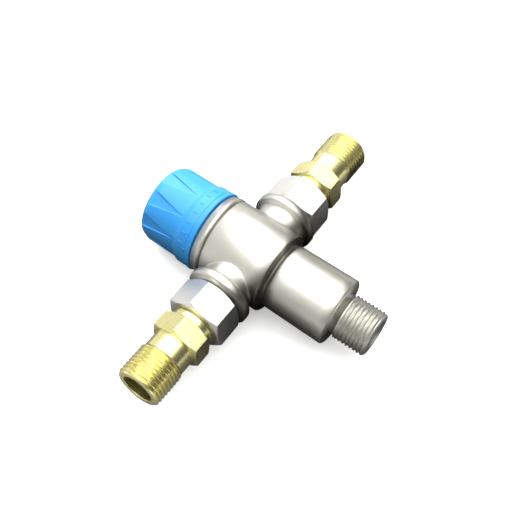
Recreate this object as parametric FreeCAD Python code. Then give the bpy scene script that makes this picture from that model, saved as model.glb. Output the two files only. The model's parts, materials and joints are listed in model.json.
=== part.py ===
import FreeCAD, Part
import math
import os

# Thermostatic mixing valve, lying on its side, millimetres.
# The valve is drawn about the centre of its tee: the body's axis is Y with the adjusting cap at +Y and the
# mixed outlet at -Y, the two inlet arms are on X, and Z is up. save() then moves every piece so that the
# origin is the centre of the outlet's end face. Outlines are lists of (distance along the axis, radius).

# ---- driving dimensions: whole valve ----
outlet_reach = 63.5        # tee centre to the outlet's end face
arm_reach = 78.3           # tee centre to an inlet's end face
cap_reach = 50.1           # tee centre to the cap's crown
thread_radius = 10.48      # crest of a 1/2 inch pipe thread
thread_chamfer = 0.8
run_gap = 0.08             # radial clearance of a turned running fit
face_gap = 0.4             # axial clearance between parts that turn or slide past each other
seal_slack = 0.02          # radial clearance left at a sliding O-ring

# ---- driving dimensions: body casting ----
barrel_radius = 19.0
barrel_top = 15.9
barrel_bottom = -14.2
barrel_edge = 0.8
lower_radius = 15.65
lower_top_radius = 15.35
lower_top = -17.0
shoulder_y = -45.7
outlet_relief = 2.6        # plain groove between shoulder and thread
outlet_relief_radius = 9.5
outlet_bore_radius = 7.2
boss_radius = 11.9
flange_radius = 15.0
flange_outer_x = 26.4
flange_width = 3.4
flange_flare = 2.7
boss_blend = 1.2           # fillet where a boss meets the barrel
port_end_x = 34.0
port_bore_radius = 7.8
port_bore_bottom_x = 17.3

# ---- driving dimensions: water chambers ----
chamber_radius = 14.6
chamber_far = 9.0          # the cold chamber's far end, where the bonnet seats
hot_floor = -10.4          # the hot chamber's far end, below the top of the hot seat
land_half = 2.0            # half width of the land between the hot and cold chambers
land_radius = 11.6
mixing_radius = 11.3
mixing_bottom = shoulder_y + 3.2
window_half_height = 6.5

# ---- driving dimensions: bonnet ----
bonnet_radius = 19.2
bonnet_groove = 0.7        # open joint line between bonnet and barrel
bonnet_groove_depth = 1.4
bonnet_top = 21.0
bonnet_thread_radius = 15.5
bonnet_bore_gap = 0.1
bonnet_seal_inset = 2.2    # O-ring groove, up from the bonnet's foot
bonnet_neck_radius = 12.5
bonnet_neck_top = 31.0
bonnet_collar_radius = 8.2
bonnet_collar_top = 36.0
bonnet_roof = 28.5         # inside face that the spindle's collar thrusts on
bonnet_seal_radius = 1.0   # half the section of the bonnet's O-ring
lug_half_angle = 10.0

# ---- driving dimensions: adjusting cap ----
cap_skirt_radius = 19.5
cap_radius = 18.4
cap_skirt_height = 7.6
cap_flare = 1.5
cap_wall = 2.2
crown_start = 45.2
crown_radius = 14.6
grip_count = 10
grip_tip = 31.5            # where a flute comes to a point, above the skirt
grip_tip_depth = 0.15
grip_depth = 1.2
grip_half_width = 4.0      # at the crown
grip_first_angle = -69.5
hub_radius = 6.5
hub_bottom = 37.6
hub_floor = 44.8
screw_head_radius = 3.2
screw_head_height = 2.4
screw_radius = 1.5
screw_length = 11.0

# ---- driving dimensions: spindle and adjuster ----
spindle_radius = 4.0
spindle_flats = 5.6
lead_thread_radius = 5.5
spindle_bottom = 22.0
spindle_collar_radius = 7.4
spindle_collar_height = 1.6
spindle_top = 43.4
spindle_seal_radius = 0.8
circlip_height = 0.8
sleeve_radius = 8.5
sleeve_top = 25.3
sleeve_bottom = 9.4
sleeve_shoulder = 20.5
sleeve_cup_radius = 7.0
sleeve_key = 1.2
snap_ring_height = 0.8
snap_ring_y = 10.2
cup_height = 2.0
overload_wire = 1.4
overload_mean_radius = 6.1
overload_turns = 4

# ---- driving dimensions: sensor and shuttle ----
shuttle_top = 7.0
shuttle_bottom = -6.6
shuttle_inner_radius = 8.9
shuttle_seal_radius = 0.8
shuttle_hub_radius = 5.8
shuttle_web_top = -1.0
shuttle_web_bottom = -4.0
shuttle_spokes = 4
spoke_width = 2.2
element_neck_radius = 4.5
element_bulb_radius = 5.0
element_bottom = -31.0
element_guide_radius = 3.2
element_guide_top = 8.5
pin_radius = 1.5
pin_bottom = 2.0
pin_pocket = 1.0
seat_top = -9.3
seat_bottom = -13.4
seat_inner_radius = 9.7
return_wire = 1.1
return_mean_radius = 7.8
return_turns = 6
guide_height = 3.0
prong_top = -27.5
prong_thickness = 1.2

# ---- driving dimensions: one inlet arm ----
washer_thickness = 2.0
washer_outer_radius = 10.0
washer_inner_radius = 7.4
tail_foot_radius = 9.0     # the part of the tail that the nut slips over
tail_neck_radius = 9.8
tail_hex = 22.0
tail_hex_start = 45.4
tail_hex_length = 9.5
tail_outer_neck_radius = 9.6
tail_thread_length = 15.7
tail_bore_radius = 7.3
tail_mouth_radius = 7.0
nut_hex = 25.0
nut_start = 27.4
nut_length = 14.5
hot_nut_turn = 10.0
cold_nut_turn = 10.0
hot_tail_turn = 3.0
cold_tail_turn = 12.0
retainer_offset = 1.6      # the nut's retaining ring, from the tail's inner end
retainer_height = 1.3
retainer_radius = 10.2
retainer_seat = 8.3
strainer_length = 12.0
strainer_radius = 7.2
strainer_wall = 0.6
strainer_rim = 1.0
strainer_rim_radius = 8.8
check_radius = 7.2
check_wall = 1.1
check_rim = 1.2
check_rim_radius = 8.0
check_length = 20.0
check_seat = 1.6
check_seat_radius = 4.3
poppet_radius = 5.3
poppet_thickness = 1.4
poppet_stem_radius = 1.2
poppet_travel = 2.5
hub_thickness = 2.2
check_wire = 0.5
check_mean_radius = 2.6
check_turns = 5

os.makedirs("parts", exist_ok=True)
origin_shift = FreeCAD.Vector(0, outlet_reach, 0)
axes = {"x": FreeCAD.Vector(1, 0, 0), "y": FreeCAD.Vector(0, 1, 0)}
centre = FreeCAD.Vector(0, 0, 0)


def save(shape, node):
    moved = shape.copy()
    moved.translate(origin_shift)
    moved.exportStep(f"parts/{node}.step")
    print(node, "solids", len(moved.Solids), "valid", moved.isValid(), "volume", round(moved.Volume, 1))


def on_axis(axis, along, radius):
    return FreeCAD.Vector(along, radius, 0) if axis == "x" else FreeCAD.Vector(radius, along, 0)


def turned(outline, axis):
    # A closed outline of (along, radius) corners, turned a full circle about X or Y.
    corners = [on_axis(axis, along, radius) for along, radius in outline]
    face = Part.Face(Part.makePolygon(corners + [corners[0]]))
    return face.revolve(centre, axes[axis], 360)


def tube(axis, low, high, outer, inner=0.0):
    return turned([(low, inner), (low, outer), (high, outer), (high, inner)], axis)


def arc_points(mid_along, mid_radius, radius, first, last, steps):
    # Corners along a round edge of an outline, as angles in degrees from the outward radius.
    angles = [math.radians(first + (last - first) * k / steps) for k in range(steps + 1)]
    return [(mid_along + radius * math.sin(a), mid_radius + radius * math.cos(a)) for a in angles]


def hexagon(across_flats, low, high, turn):
    # Hexagonal bar on X with its corners taken off at 30 degrees at both ends.
    corner = across_flats / math.sqrt(3)
    bevel = (corner - across_flats / 2) * math.tan(math.radians(30))
    angles = [math.radians(turn + 60 * k) for k in range(6)]
    corners = [FreeCAD.Vector(low, corner * math.sin(a), corner * math.cos(a)) for a in angles]
    bar = Part.Face(Part.makePolygon(corners + [corners[0]])).extrude(FreeCAD.Vector(high - low, 0, 0))
    envelope = turned([(low, 0), (low, across_flats / 2), (low + bevel, corner), (high - bevel, corner),
                       (high, across_flats / 2), (high, 0)], "x")
    return bar.common(envelope)


def o_ring(axis, along, outer_radius, section_radius):
    # An O-ring as it sits squeezed in its groove: a round section with small flats.
    mean = outer_radius - section_radius
    flat = section_radius / math.cos(math.radians(22.5))
    angles = [math.radians(22.5 + 45 * k) for k in range(8)]
    return turned([(along + flat * math.sin(a), mean + flat * math.cos(a)) for a in angles], axis)


def coil(axis, low, high, mean_radius, wire, turns):
    # Helical spring whose wire just touches the planes at low and high.
    height = high - low - wire
    helix = Part.makeHelix(height / turns, height, mean_radius)
    half = wire / 2
    square = [FreeCAD.Vector(mean_radius + a * half, 0, b * half) for a, b in ((-1, -1), (1, -1), (1, 1), (-1, 1))]
    section = Part.Wire(Part.makePolygon(square + [square[0]]))
    spring = Part.Wire(helix).makePipeShell([section], True, True)
    if axis == "y":
        spring.rotate(centre, FreeCAD.Vector(1, 0, 0), -90)
    else:
        spring.rotate(centre, FreeCAD.Vector(0, 1, 0), 90)
    spring.translate(on_axis(axis, low + half, 0))
    return spring


def spread(shape, count, axis):
    # The same shape repeated evenly about an axis through the tee's centre.
    copies = []
    for k in range(count):
        copy = shape.copy()
        copy.rotate(centre, axes[axis], 360.0 * k / count)
        copies.append(copy)
    return copies


def box(low, high):
    size = [b - a for a, b in zip(low, high)]
    return Part.makeBox(*size, FreeCAD.Vector(*low))


# ---- body casting ----
def valve_body():
    outlet_end = -outlet_reach
    thread_end = shoulder_y - outlet_relief
    barrel_foot = barrel_bottom - 0.4
    outside = turned(
        [(outlet_end, 0), (outlet_end, thread_radius - thread_chamfer),
         (outlet_end + thread_chamfer, thread_radius), (thread_end, thread_radius),
         (thread_end, outlet_relief_radius), (shoulder_y, outlet_relief_radius),
         (shoulder_y, lower_radius - 0.5), (shoulder_y + 0.5, lower_radius),
         (lower_top, lower_top_radius)]
        + [(barrel_foot - 0.6, lower_top_radius - 0.9), (barrel_foot, lower_top_radius - 0.6)]
        + [(barrel_bottom, barrel_radius - barrel_edge - 0.6)]
        + arc_points(barrel_bottom + barrel_edge, barrel_radius - barrel_edge, barrel_edge, -90, 0, 4)
        + [(barrel_top - 0.4, barrel_radius), (barrel_top, barrel_radius - 0.4), (barrel_top, 0)], "y")
    boss = turned(
        [(0, 0), (0, boss_radius), (flange_outer_x - flange_width - flange_flare, boss_radius)]
        + [(flange_outer_x - flange_width - flange_flare * 0.45, boss_radius + 0.7)]
        + arc_points(flange_outer_x - flange_width + 0.6, flange_radius - 1.4, 1.4, -60, 0, 4)
        + [(flange_outer_x - 0.6, flange_radius), (flange_outer_x, flange_radius - 0.6),
           (flange_outer_x, thread_radius - 0.9), (flange_outer_x + 1.6, thread_radius - 0.9),
           (flange_outer_x + 2.5, thread_radius), (port_end_x - thread_chamfer, thread_radius),
           (port_end_x, thread_radius - thread_chamfer), (port_end_x, 0)], "x")
    far_boss = boss.copy()
    far_boss.rotate(centre, FreeCAD.Vector(0, 0, 1), 180)
    shape = outside.fuse([boss, far_boss]).removeSplitter()
    shape = blend_bosses(shape)
    return shape.cut(body_voids())


def blend_bosses(shape):
    # The casting's fillet runs round each boss where its cylinder meets the barrel.
    seams = []
    for edge in shape.Edges:
        points = edge.discretize(9)
        on_boss = all(abs(math.hypot(p.y, p.z) - boss_radius) < 0.01 for p in points)
        on_barrel = all(abs(math.hypot(p.x, p.z) - barrel_radius) < 0.01 for p in points)
        if on_boss and on_barrel:
            seams.append(edge)
    return shape.makeFillet(boss_blend, seams)


def body_voids():
    bonnet_bore = bonnet_thread_radius + bonnet_bore_gap
    water = turned(
        [(-outlet_reach - 1, 0), (-outlet_reach - 1, outlet_bore_radius), (mixing_bottom - 3.0, outlet_bore_radius),
         (mixing_bottom, mixing_radius), (hot_floor, mixing_radius), (hot_floor, chamber_radius),
         (-land_half, chamber_radius), (-land_half, land_radius), (land_half, land_radius),
         (land_half, chamber_radius), (chamber_far, chamber_radius), (chamber_far, bonnet_bore),
         (barrel_top + 1, bonnet_bore), (barrel_top + 1, 0)], "y")
    port = turned(
        [(port_bore_bottom_x, 0), (port_bore_bottom_x, port_bore_radius),
         (port_end_x - strainer_rim, port_bore_radius), (port_end_x - strainer_rim, strainer_rim_radius + 0.1),
         (port_end_x + 1, strainer_rim_radius + 0.1), (port_end_x + 1, 0)], "x")
    far_port = port.copy()
    far_port.rotate(centre, FreeCAD.Vector(0, 0, 1), 180)
    # Cold enters above the land and hot below it, each through its own window.
    low, high = land_half + 0.8, chamber_far - 0.8
    reach = port_bore_bottom_x + 0.5
    cold_window = box((12.8, low, -window_half_height), (reach, high, window_half_height))
    hot_window = box((-reach, -high, -window_half_height), (-12.8, -low, window_half_height))
    return water.fuse([port, far_port, cold_window, hot_window])


# ---- bonnet and its stop lug ----
def bonnet_ring():
    groove_top = barrel_top + bonnet_groove
    seal_y = chamber_far + bonnet_seal_inset
    seal_depth = bonnet_thread_radius + bonnet_bore_gap - 2 * bonnet_seal_radius
    seal_half = bonnet_seal_radius + 0.15
    outside = turned(
        [(chamber_far, 0), (chamber_far, bonnet_thread_radius - 0.6), (chamber_far + 0.6, bonnet_thread_radius),
         (seal_y - seal_half, bonnet_thread_radius), (seal_y - seal_half, seal_depth),
         (seal_y + seal_half, seal_depth), (seal_y + seal_half, bonnet_thread_radius),
         (barrel_top, bonnet_thread_radius),
         (barrel_top, bonnet_radius - bonnet_groove_depth), (groove_top, bonnet_radius - bonnet_groove_depth),
         (groove_top, bonnet_radius - 0.4), (groove_top + 0.4, bonnet_radius), (bonnet_top - 2.6, bonnet_radius),
         (bonnet_top - 2.2, bonnet_radius - 0.5), (bonnet_top - 0.5, bonnet_radius - 0.5),
         (bonnet_top, bonnet_radius - 1.0), (bonnet_top, bonnet_neck_radius),
         (bonnet_neck_top - 0.6, bonnet_neck_radius), (bonnet_neck_top, bonnet_neck_radius - 0.6),
         (bonnet_neck_top, bonnet_collar_radius), (bonnet_collar_top - 0.5, bonnet_collar_radius),
         (bonnet_collar_top, bonnet_collar_radius - 0.5), (bonnet_collar_top, 0)], "y")
    guide_radius = sleeve_radius + run_gap
    inside = turned(
        [(chamber_far - 1, 0), (chamber_far - 1, guide_radius), (bonnet_roof, guide_radius),
         (bonnet_roof, spindle_radius + run_gap), (bonnet_collar_top + 1, spindle_radius + run_gap),
         (bonnet_collar_top + 1, 0)], "y")
    keyway_reach = guide_radius + sleeve_key + 0.2
    keyway_half = 1.5 + run_gap
    keyways = box((-keyway_reach, chamber_far - 1, -keyway_half), (keyway_reach, bonnet_roof - 2.0, keyway_half))
    lug = sector(bonnet_top - 0.5, bonnet_top + 4.0, bonnet_neck_radius - 1, cap_radius - cap_wall - 0.8, 180.0)
    return outside.fuse(lug).cut(inside.fuse(keyways)).removeSplitter()


def bonnet_o_ring():
    return o_ring("y", chamber_far + bonnet_seal_inset, bonnet_thread_radius + bonnet_bore_gap, bonnet_seal_radius)


def sector(low, high, inner, outer, middle):
    # Part of a ring about Y, lug_half_angle to each side of a direction counted from +Z towards +X.
    ring_part = tube("y", low, high, outer, inner)
    a, b = math.radians(middle - lug_half_angle), math.radians(middle + lug_half_angle)
    far = outer * 1.3
    corners = [FreeCAD.Vector(0, low - 1, 0), FreeCAD.Vector(far * math.sin(a), low - 1, far * math.cos(a)),
               FreeCAD.Vector(far * math.sin(b), low - 1, far * math.cos(b))]
    wedge = Part.Face(Part.makePolygon(corners + [corners[0]])).extrude(FreeCAD.Vector(0, high - low + 2, 0))
    return ring_part.common(wedge)


# ---- cap, screw and spindle ----
def adjusting_cap():
    bottom = bonnet_top + face_gap
    skirt_top = bottom + cap_skirt_height
    crown_drop = cap_radius - crown_radius
    rise = cap_reach - crown_start
    crown = [(crown_start + rise * math.sin(math.radians(t)), crown_radius + crown_drop * math.cos(math.radians(t)))
             for t in range(0, 91, 15)]
    outside = turned(
        [(bottom, 0), (bottom, cap_skirt_radius - 0.4), (bottom + 0.4, cap_skirt_radius),
         (skirt_top - 0.4, cap_skirt_radius), (skirt_top + cap_flare * 0.4, cap_radius + 0.35),
         (skirt_top + cap_flare, cap_radius)] + crown + [(cap_reach, 0)], "y")
    inner_radius = cap_radius - cap_wall
    inner_top = cap_reach - cap_wall
    inside = turned(
        [(bottom - 1, 0), (bottom - 1, inner_radius), (crown_start, inner_radius),
         (crown_start + 4.0, inner_radius - 0.9), (inner_top, crown_radius - 1.6), (inner_top, 0)], "y")
    hub = tube("y", hub_bottom, inner_top + 0.5, hub_radius)
    lug = sector(bottom, bottom + 4.0, bonnet_neck_radius + 0.8, inner_radius + 0.5, 0.0)
    shape = outside.cut(inside).fuse([hub, lug])
    screw_well = tube("y", hub_floor, cap_reach + 1, screw_head_radius + 0.3)
    screw_hole = tube("y", hub_bottom - 1, cap_reach, screw_radius + 0.1)
    socket = double_d(hub_bottom - 1, spindle_top + 0.3, spindle_radius + 0.05, spindle_flats + 0.1)
    return shape.cut([screw_well, screw_hole, socket] + grips()).removeSplitter()


def grips():
    # Finger flutes: each has a flat floor that starts at a point above the skirt and widens and deepens to the crown.
    tip = FreeCAD.Vector(0, grip_tip, cap_radius - grip_tip_depth)
    overshoot = 1.2
    end = grip_tip + (cap_reach - grip_tip) * overshoot
    plan = [tip, FreeCAD.Vector(-grip_half_width * overshoot, end, tip.z),
            FreeCAD.Vector(grip_half_width * overshoot, end, tip.z)]
    tool = Part.Face(Part.makePolygon(plan + [tip])).extrude(FreeCAD.Vector(0, 0, cap_radius / 2))
    fall = math.degrees(math.atan((grip_depth - grip_tip_depth) / (cap_reach - grip_tip)))
    tool.rotate(tip, axes["x"], -fall)
    tool.rotate(centre, axes["y"], grip_first_angle)
    return spread(tool, grip_count, "y")


def double_d(low, high, radius, across):
    return tube("y", low, high, radius).common(box((-radius, low, -across / 2), (radius, high, across / 2)))


def cap_screw():
    head_top = hub_floor + screw_head_height
    shank = tube("y", hub_floor - screw_length, hub_floor, screw_radius)
    head = turned([(hub_floor, 0), (hub_floor, screw_head_radius), (head_top - 0.6, screw_head_radius),
                   (head_top, screw_head_radius - 0.8), (head_top, 0)], "y")
    arm, deep = 1.9, 1.3
    cross = box((-arm, head_top - deep, -0.4), (arm, head_top + 1, 0.4))
    cross = cross.fuse(box((-0.4, head_top - deep, -arm), (0.4, head_top + 1, arm)))
    return shank.fuse(head).cut(cross)


def adjusting_spindle():
    collar_top = bonnet_roof - 0.1
    collar_bottom = collar_top - spindle_collar_height
    groove = spindle_radius + run_gap - seal_slack - 2 * spindle_seal_radius
    outline = [(spindle_bottom, 0), (spindle_bottom, lead_thread_radius - 0.7),
               (spindle_bottom + 0.7, lead_thread_radius), (collar_bottom, lead_thread_radius),
               (collar_bottom, spindle_collar_radius), (collar_top, spindle_collar_radius),
               (collar_top, spindle_radius)]
    for middle in seal_places():
        low, high = middle - spindle_seal_radius - 0.1, middle + spindle_seal_radius + 0.1
        outline += [(low, spindle_radius), (low, groove), (high, groove), (high, spindle_radius)]
    clip = bonnet_collar_top + 0.1
    outline += [(clip, spindle_radius), (clip, spindle_radius - 0.6),
                (clip + circlip_height, spindle_radius - 0.6), (clip + circlip_height, spindle_radius),
                (spindle_top - 0.4, spindle_radius), (spindle_top, spindle_radius - 0.4), (spindle_top, 0)]
    shape = turned(outline, "y")
    drive = box((-9, hub_bottom, -9), (9, spindle_top + 1, 9)).cut(
        box((-9, hub_bottom - 1, -spindle_flats / 2), (9, spindle_top + 2, spindle_flats / 2)))
    thread_hole = tube("y", hub_floor - screw_length - 1, spindle_top + 1, screw_radius)
    return shape.cut([drive, thread_hole])


def seal_places():
    middle = (bonnet_roof + bonnet_collar_top) / 2
    return (middle - 1.7, middle + 1.7)


def spindle_o_rings():
    return Part.makeCompound(
        [o_ring("y", y, spindle_radius + run_gap - seal_slack, spindle_seal_radius) for y in seal_places()])


def spindle_circlip():
    low = bonnet_collar_top + 0.1
    clip = tube("y", low, low + circlip_height, spindle_radius + 1.7, spindle_radius - 0.6)
    return clip.cut(box((-1.6, low - 1, 0), (1.6, low + 2, 9)))


# ---- adjuster: sleeve, snap ring, overload spring and cup ----
def adjuster_sleeve():
    bore = lead_thread_radius + run_gap
    groove_low, groove_high = snap_ring_y, snap_ring_y + snap_ring_height
    shape = turned(
        [(sleeve_bottom, sleeve_cup_radius), (sleeve_bottom, sleeve_radius), (sleeve_top, sleeve_radius),
         (sleeve_top, bore), (sleeve_shoulder, bore), (sleeve_shoulder, sleeve_cup_radius),
         (groove_high, sleeve_cup_radius), (groove_high, sleeve_cup_radius + 0.5),
         (groove_low, sleeve_cup_radius + 0.5), (groove_low, sleeve_cup_radius)], "y")
    reach = sleeve_radius + sleeve_key
    keys = [box((sleeve_radius - 0.8, sleeve_bottom + 1, -1.5), (reach, sleeve_top - 4, 1.5)),
            box((-reach, sleeve_bottom + 1, -1.5), (0.8 - sleeve_radius, sleeve_top - 4, 1.5))]
    return shape.fuse(keys).removeSplitter()


def sleeve_snap_ring():
    shape = tube("y", snap_ring_y, snap_ring_y + snap_ring_height, sleeve_cup_radius + 0.5, sleeve_cup_radius - 1.2)
    return shape.cut(box((-1.5, snap_ring_y - 1, 0), (1.5, snap_ring_y + 2, 9)))


def cup_bottom():
    return snap_ring_y + snap_ring_height


def overload_cup():
    low, high = cup_bottom(), cup_bottom() + cup_height
    shape = turned([(low, 0), (low, sleeve_cup_radius - run_gap), (high, sleeve_cup_radius - run_gap),
                    (high, overload_mean_radius - overload_wire / 2 - 0.3),
                    (high + 1.0, overload_mean_radius - overload_wire / 2 - 0.6), (high + 1.0, 0)], "y")
    return shape.cut(tube("y", low - 1, low + pin_pocket, pin_radius))


def overload_spring():
    return coil("y", cup_bottom() + cup_height, sleeve_shoulder, overload_mean_radius, overload_wire, overload_turns)


def element_pin():
    top = cup_bottom() + pin_pocket
    return turned([(pin_bottom, 0), (pin_bottom, pin_radius - 0.3), (pin_bottom + 0.3, pin_radius),
                   (top, pin_radius), (top, 0)], "y")


# ---- sensor, shuttle and seat ----
def wax_element():
    collar = shuttle_hub_radius - 0.2
    shape = turned(
        [(element_bottom, 0)]
        + arc_points(element_bottom + 2.0, element_bulb_radius - 2.0, 2.0, -90, 0, 4)
        + [(shuttle_web_bottom - 2.6, element_bulb_radius), (shuttle_web_bottom - 2.6, collar),
           (shuttle_web_bottom, collar), (shuttle_web_bottom, element_neck_radius),
           (shuttle_web_top + 1.5, element_neck_radius), (shuttle_web_top + 1.5, element_guide_radius),
           (element_guide_top - 0.5, element_guide_radius), (element_guide_top, element_guide_radius - 0.5),
           (element_guide_top, 0)], "y")
    return shape.cut(tube("y", pin_bottom - 2.0, element_guide_top + 1, pin_radius + 0.05))


def shuttle():
    outer = land_radius - run_gap
    groove = land_radius - 2 * shuttle_seal_radius - seal_slack
    half = shuttle_seal_radius + 0.15
    wall = turned(
        [(shuttle_bottom, outer - 1.0), (shuttle_bottom, outer), (-half, outer), (-half, groove), (half, groove),
         (half, outer), (shuttle_top, outer), (shuttle_top, outer - 1.0), (shuttle_top - 1.6, shuttle_inner_radius),
         (shuttle_bottom + 1.6, shuttle_inner_radius)], "y")
    web = tube("y", shuttle_web_bottom, shuttle_web_top, shuttle_inner_radius + 0.3, element_neck_radius)
    opening = tube("y", shuttle_web_bottom - 1, shuttle_web_top + 1, shuttle_inner_radius, shuttle_hub_radius)
    spoke = box((0, shuttle_web_bottom - 2, -spoke_width / 2), (12, shuttle_web_top + 2, spoke_width / 2))
    spokes = spread(spoke, shuttle_spokes, "y")
    return wall.fuse(web.cut(opening.cut(spokes))).removeSplitter()


def shuttle_o_ring():
    return o_ring("y", 0, land_radius - seal_slack, shuttle_seal_radius)


def hot_seat():
    lip = land_radius - run_gap - 1.2
    return turned([(seat_bottom, seat_inner_radius), (seat_bottom, mixing_radius), (seat_top, mixing_radius),
                   (seat_top, lip), (seat_top - 1.0, seat_inner_radius)], "y")


def flow_guide():
    low, high = mixing_bottom, mixing_bottom + guide_height
    outer = mixing_radius - 0.1
    base = tube("y", low, high, outer, 5.3)
    holes = [part.common(tube("y", low - 1, high + 1, outer - 1.6, 6.6)) for part in
             spread(box((-1.9, low - 1, 0), (1.9, high + 1, 12)), 6, "y")]
    fin = box((element_bulb_radius + 0.3, high - 1, -prong_thickness / 2),
              (return_mean_radius - return_wire / 2 - 0.5, prong_top, prong_thickness / 2))
    fins = spread(fin, 3, "y")
    return base.cut(holes).fuse(fins).removeSplitter()


def return_spring():
    return coil("y", mixing_bottom + guide_height, shuttle_web_bottom, return_mean_radius, return_wire, return_turns)


# ---- one inlet arm, drawn along +X ----
washer_x = port_end_x
tail_x = washer_x + washer_thickness
retainer_x = tail_x + retainer_offset
lip_x = retainer_x + retainer_height
nut_end = nut_start + nut_length
check_end = tail_x + check_length


def sealing_washer():
    return tube("x", washer_x, washer_x + washer_thickness, washer_outer_radius, washer_inner_radius)


def union_nut(turn):
    bar = hexagon(nut_hex, nut_start, nut_end, turn)
    bore = turned(
        [(nut_start - 1, 0), (nut_start - 1, thread_radius + 0.9), (nut_start, thread_radius + 0.9),
         (nut_start + 0.8, thread_radius + run_gap), (lip_x, thread_radius + run_gap),
         (lip_x, tail_foot_radius + 0.15), (nut_end + 1, tail_foot_radius + 0.15),
         (nut_end + 1, 0)], "x")
    return bar.cut(bore)


def tail(turn):
    thread_start = arm_reach - tail_thread_length
    hex_end = tail_hex_start + tail_hex_length
    outside = turned(
        [(tail_x, 0), (tail_x, tail_foot_radius), (retainer_x, tail_foot_radius), (retainer_x, retainer_seat),
         (lip_x, retainer_seat), (lip_x, tail_foot_radius), (nut_end + face_gap, tail_foot_radius),
         (nut_end + face_gap, tail_neck_radius), (tail_hex_start + 1, tail_neck_radius),
         (hex_end - 1, tail_outer_neck_radius),
         (thread_start, tail_outer_neck_radius), (thread_start + 0.7, thread_radius),
         (arm_reach - thread_chamfer, thread_radius), (arm_reach, thread_radius - thread_chamfer),
         (arm_reach, 0)], "x")
    bore = turned(
        [(tail_x - 1, 0), (tail_x - 1, check_rim_radius + 0.1), (tail_x + check_rim, check_rim_radius + 0.1),
         (tail_x + check_rim, tail_bore_radius), (check_end + 1.0, tail_bore_radius),
         (check_end + 1.3, tail_mouth_radius), (arm_reach + 1, tail_mouth_radius), (arm_reach + 1, 0)], "x")
    return outside.fuse(hexagon(tail_hex, tail_hex_start, hex_end, turn)).cut(bore)


def nut_retainer():
    # Split ring, sprung into the tail's groove after the nut has been slipped on.
    ring = tube("x", retainer_x, lip_x, retainer_radius, retainer_seat)
    return ring.cut(box((retainer_x - 1, -1.0, 0), (lip_x + 1, 1.0, retainer_radius + 1)))


def strainer():
    # Perforated cup with its rim trapped under the washer.
    rim_low = port_end_x - strainer_rim
    floor_x = port_end_x - strainer_length
    shape = turned(
        [(floor_x, 0), (floor_x, strainer_radius - 1.0), (floor_x + 1.0, strainer_radius),
         (rim_low, strainer_radius), (rim_low, strainer_rim_radius), (port_end_x, strainer_rim_radius),
         (port_end_x, strainer_radius - strainer_wall), (floor_x + 1.2, strainer_radius - strainer_wall),
         (floor_x + strainer_wall, strainer_radius - 1.4), (floor_x + strainer_wall, 0)], "x")
    slot = box((floor_x + 2.0, -0.6, 0), (rim_low - 1.5, 0.6, strainer_radius + 2))
    return shape.cut(spread(slot, 10, "x"))


def poppet_face():
    return check_end - check_seat


def check_housing():
    low = tail_x
    inner = check_radius - check_wall
    shape = turned(
        [(low, inner), (low, check_rim_radius), (low + check_rim, check_rim_radius), (low + check_rim, check_radius),
         (check_end, check_radius), (check_end, check_seat_radius), (poppet_face(), check_seat_radius + 0.4),
         (poppet_face(), inner)], "x")
    hub = tube("x", low + 1.5, low + 1.5 + hub_thickness, 2.4, poppet_stem_radius + 0.06)
    arms = [part.cut(tube("x", low, low + 9, 2.0)) for part in
            spread(box((low + 1.5, -0.6, 0), (low + 1.5 + hub_thickness, 0.6, inner + 0.3)), 3, "x")]
    return shape.fuse([hub] + arms).removeSplitter()


def check_poppet():
    face = poppet_face() - 0.02
    stem_end = tail_x + 1.6
    return turned(
        [(stem_end, 0), (stem_end, poppet_stem_radius),
         (face - poppet_thickness, poppet_stem_radius), (face - poppet_thickness, poppet_radius - 0.6),
         (face - poppet_thickness + 0.6, poppet_radius), (face, poppet_radius),
         (face, check_seat_radius - 0.3), (face + 1.0, check_seat_radius - 1.3), (face + 1.0, 0)], "x")


def check_spring():
    low = tail_x + 1.5 + hub_thickness
    return coil("x", low, poppet_face() - 0.02 - poppet_thickness, check_mean_radius, check_wire, check_turns)


def save_arm(side, nut_turn, tail_turn, opposite):
    # The hot arm is the cold arm turned half round, so its pieces are the same pieces.
    pieces = {
        "sealing_washer": sealing_washer(), "union_nut": union_nut(nut_turn), "tail": tail(tail_turn),
        "nut_retainer": nut_retainer(),
        "strainer": strainer(), "check_housing": check_housing(), "check_poppet": check_poppet(),
        "check_spring": check_spring()}
    for name, shape in pieces.items():
        if opposite:
            shape.rotate(centre, FreeCAD.Vector(0, 0, 1), 180)
        save(shape, f"{side}_{name}")


save(valve_body(), "valve_body")
save(bonnet_ring(), "bonnet_ring")
save(bonnet_o_ring(), "bonnet_o_ring")
save(adjusting_cap(), "adjusting_cap")
save(cap_screw(), "cap_screw")
save(adjusting_spindle(), "adjusting_spindle")
save(spindle_o_rings(), "spindle_o_rings")
save(spindle_circlip(), "spindle_circlip")
save(adjuster_sleeve(), "adjuster_sleeve")
save(sleeve_snap_ring(), "sleeve_snap_ring")
save(overload_cup(), "overload_cup")
save(overload_spring(), "overload_spring")
save(element_pin(), "element_pin")
save(wax_element(), "wax_element")
save(shuttle(), "shuttle")
save(shuttle_o_ring(), "shuttle_o_ring")
save(hot_seat(), "hot_seat")
save(return_spring(), "return_spring")
save(flow_guide(), "flow_guide")
save_arm("hot", -hot_nut_turn, -hot_tail_turn, True)
save_arm("cold", cold_nut_turn, cold_tail_turn, False)
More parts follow.
